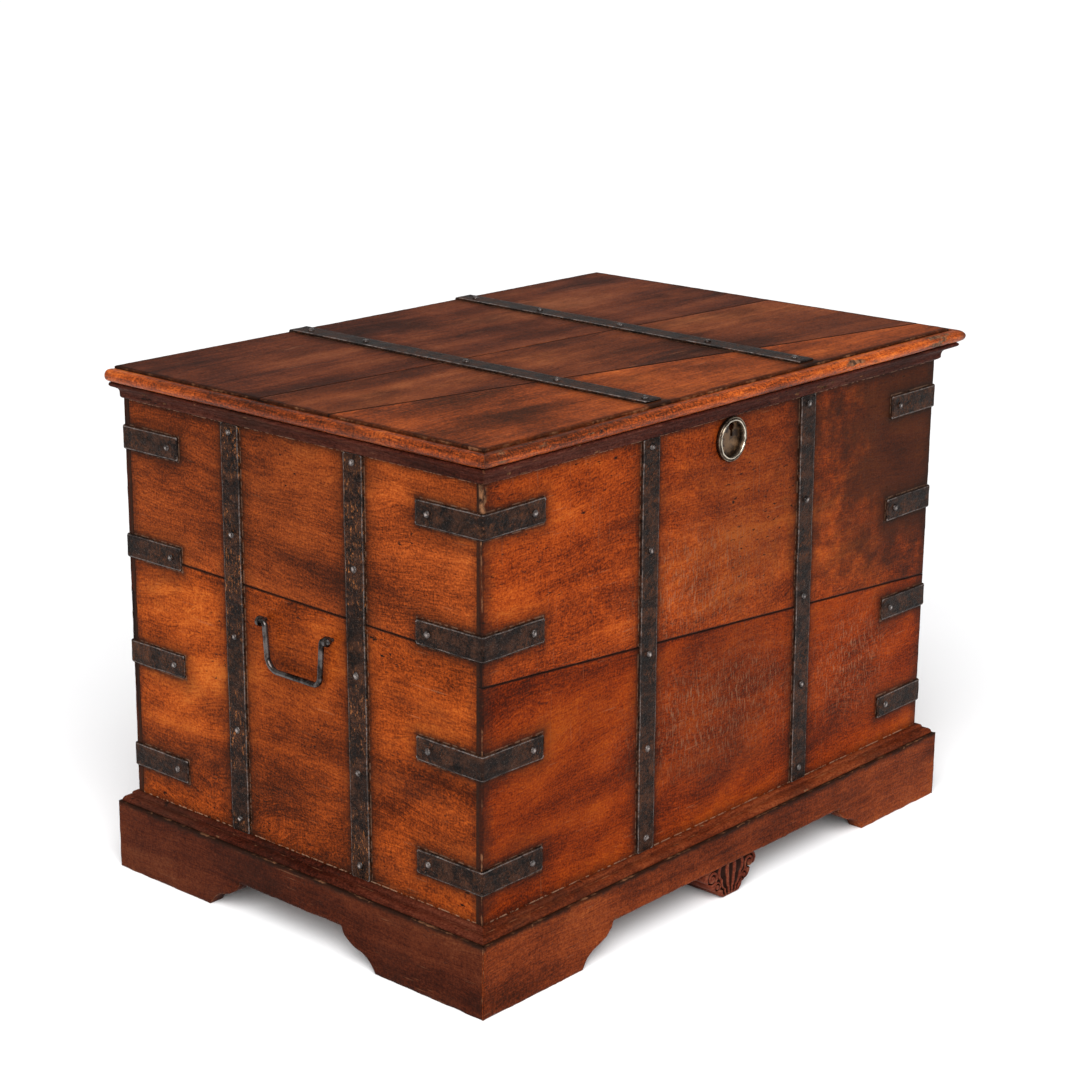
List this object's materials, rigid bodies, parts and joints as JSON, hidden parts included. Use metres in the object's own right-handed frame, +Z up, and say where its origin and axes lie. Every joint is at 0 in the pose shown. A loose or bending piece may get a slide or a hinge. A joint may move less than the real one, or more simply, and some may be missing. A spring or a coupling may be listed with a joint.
{
  "type": "wooden chest",
  "caption": "Iron-bound hardwood storage chest with a hinged lid, moulded plinth on bracket feet, swinging end handles and a keyhole lock.",
  "frame": {"origin": "on the floor, under the middle of the chest's overall width and depth", "axes": "+X to the right along the front, +Y from the front to the back, +Z up; the front with the keyhole faces -Y"},
  "size_m": [1.016, 0.697, 0.7198],
  "materials": {
    "teak_case": "worn oiled satin",
    "teak_lid": "worn oiled satin, darker",
    "teak_moulding": "worn oiled satin",
    "teak_plinth": "smooth dark satin",
    "teak_inside": "bare, unpolished",
    "forged_iron": "old blackened, rubbed edges",
    "old_brass": "tarnished, rubbed bright on the ridges"
  },
  "bodies": {
    "chest": {"front_board_upper": "teak_case", "front_board_lower": "teak_case", "back_board_upper": "teak_case", "back_board_lower": "teak_case", "left_board_upper": "teak_case", "left_board_lower": "teak_case", "right_board_upper": "teak_case", "right_board_lower": "teak_case", "bottom_board_front": "teak_inside", "bottom_board_middle": "teak_inside", "bottom_board_back": "teak_inside", "bottom_bearers": "teak_inside", "plinth_corner_blocks": "teak_inside", "cornice_front": "teak_moulding", "cornice_left": "teak_moulding", "cornice_right": "teak_moulding", "plinth_front": "teak_plinth", "plinth_back": "teak_plinth", "plinth_left": "teak_plinth", "plinth_right": "teak_plinth", "plinth_cap_front": "teak_plinth", "plinth_cap_back": "teak_plinth", "plinth_cap_left": "teak_plinth", "plinth_cap_right": "teak_plinth", "centre_foot": "teak_plinth", "front_strap_left": "forged_iron", "front_strap_right": "forged_iron", "left_strap_back": "forged_iron", "left_strap_front": "forged_iron", "right_strap_back": "forged_iron", "right_strap_front": "forged_iron", "case_hinge_strap_left": "forged_iron", "case_hinge_strap_right": "forged_iron", "hinge_pins": "forged_iron", "corner_brackets_front_left": "forged_iron", "corner_brackets_front_right": "forged_iron", "corner_brackets_back_left": "forged_iron", "corner_brackets_back_right": "forged_iron", "nails_front": "forged_iron", "nails_back": "forged_iron", "nails_left": "forged_iron", "nails_right": "forged_iron", "bail_staples_left": "forged_iron", "bail_staples_right": "forged_iron", "lock_case": "forged_iron", "escutcheon": "old_brass", "keyhole_plate": "old_brass"},
    "lid": {"lid_board_front": "teak_lid", "lid_board_middle": "teak_lid", "lid_board_back": "teak_lid", "lid_moulding_front": "teak_moulding", "lid_moulding_left": "teak_moulding", "lid_moulding_right": "teak_moulding", "lid_hinge_strap_left": "forged_iron", "lid_hinge_strap_right": "forged_iron", "nails_lid": "forged_iron", "lock_catch": "forged_iron"},
    "bail_left": {"bail_left": "forged_iron"},
    "bail_right": {"bail_right": "forged_iron"},
    "lock_bolt": {"lock_bolt": "forged_iron"}
  },
  "joints": [
    {"name": "lid_hinge", "type": "hinge", "parent": "chest", "child": "lid", "pos_m": [0, 0.338, 0.694], "axis": [-1, 0, 0], "range_deg": [0, 100]},
    {"name": "bail_left_swing", "type": "hinge", "parent": "chest", "child": "bail_left", "pos_m": [-0.4875, -0.001, 0.4205], "axis": [0, 1, 0], "range_deg": [-5, 185]},
    {"name": "bail_right_swing", "type": "hinge", "parent": "chest", "child": "bail_right", "pos_m": [0.4875, -0.001, 0.4205], "axis": [0, -1, 0], "range_deg": [-5, 185]},
    {"name": "bolt_slide", "type": "slide", "parent": "chest", "child": "lock_bolt", "axis": [-1, 0, 0], "range_m": [0, 0.012]}
  ]
}
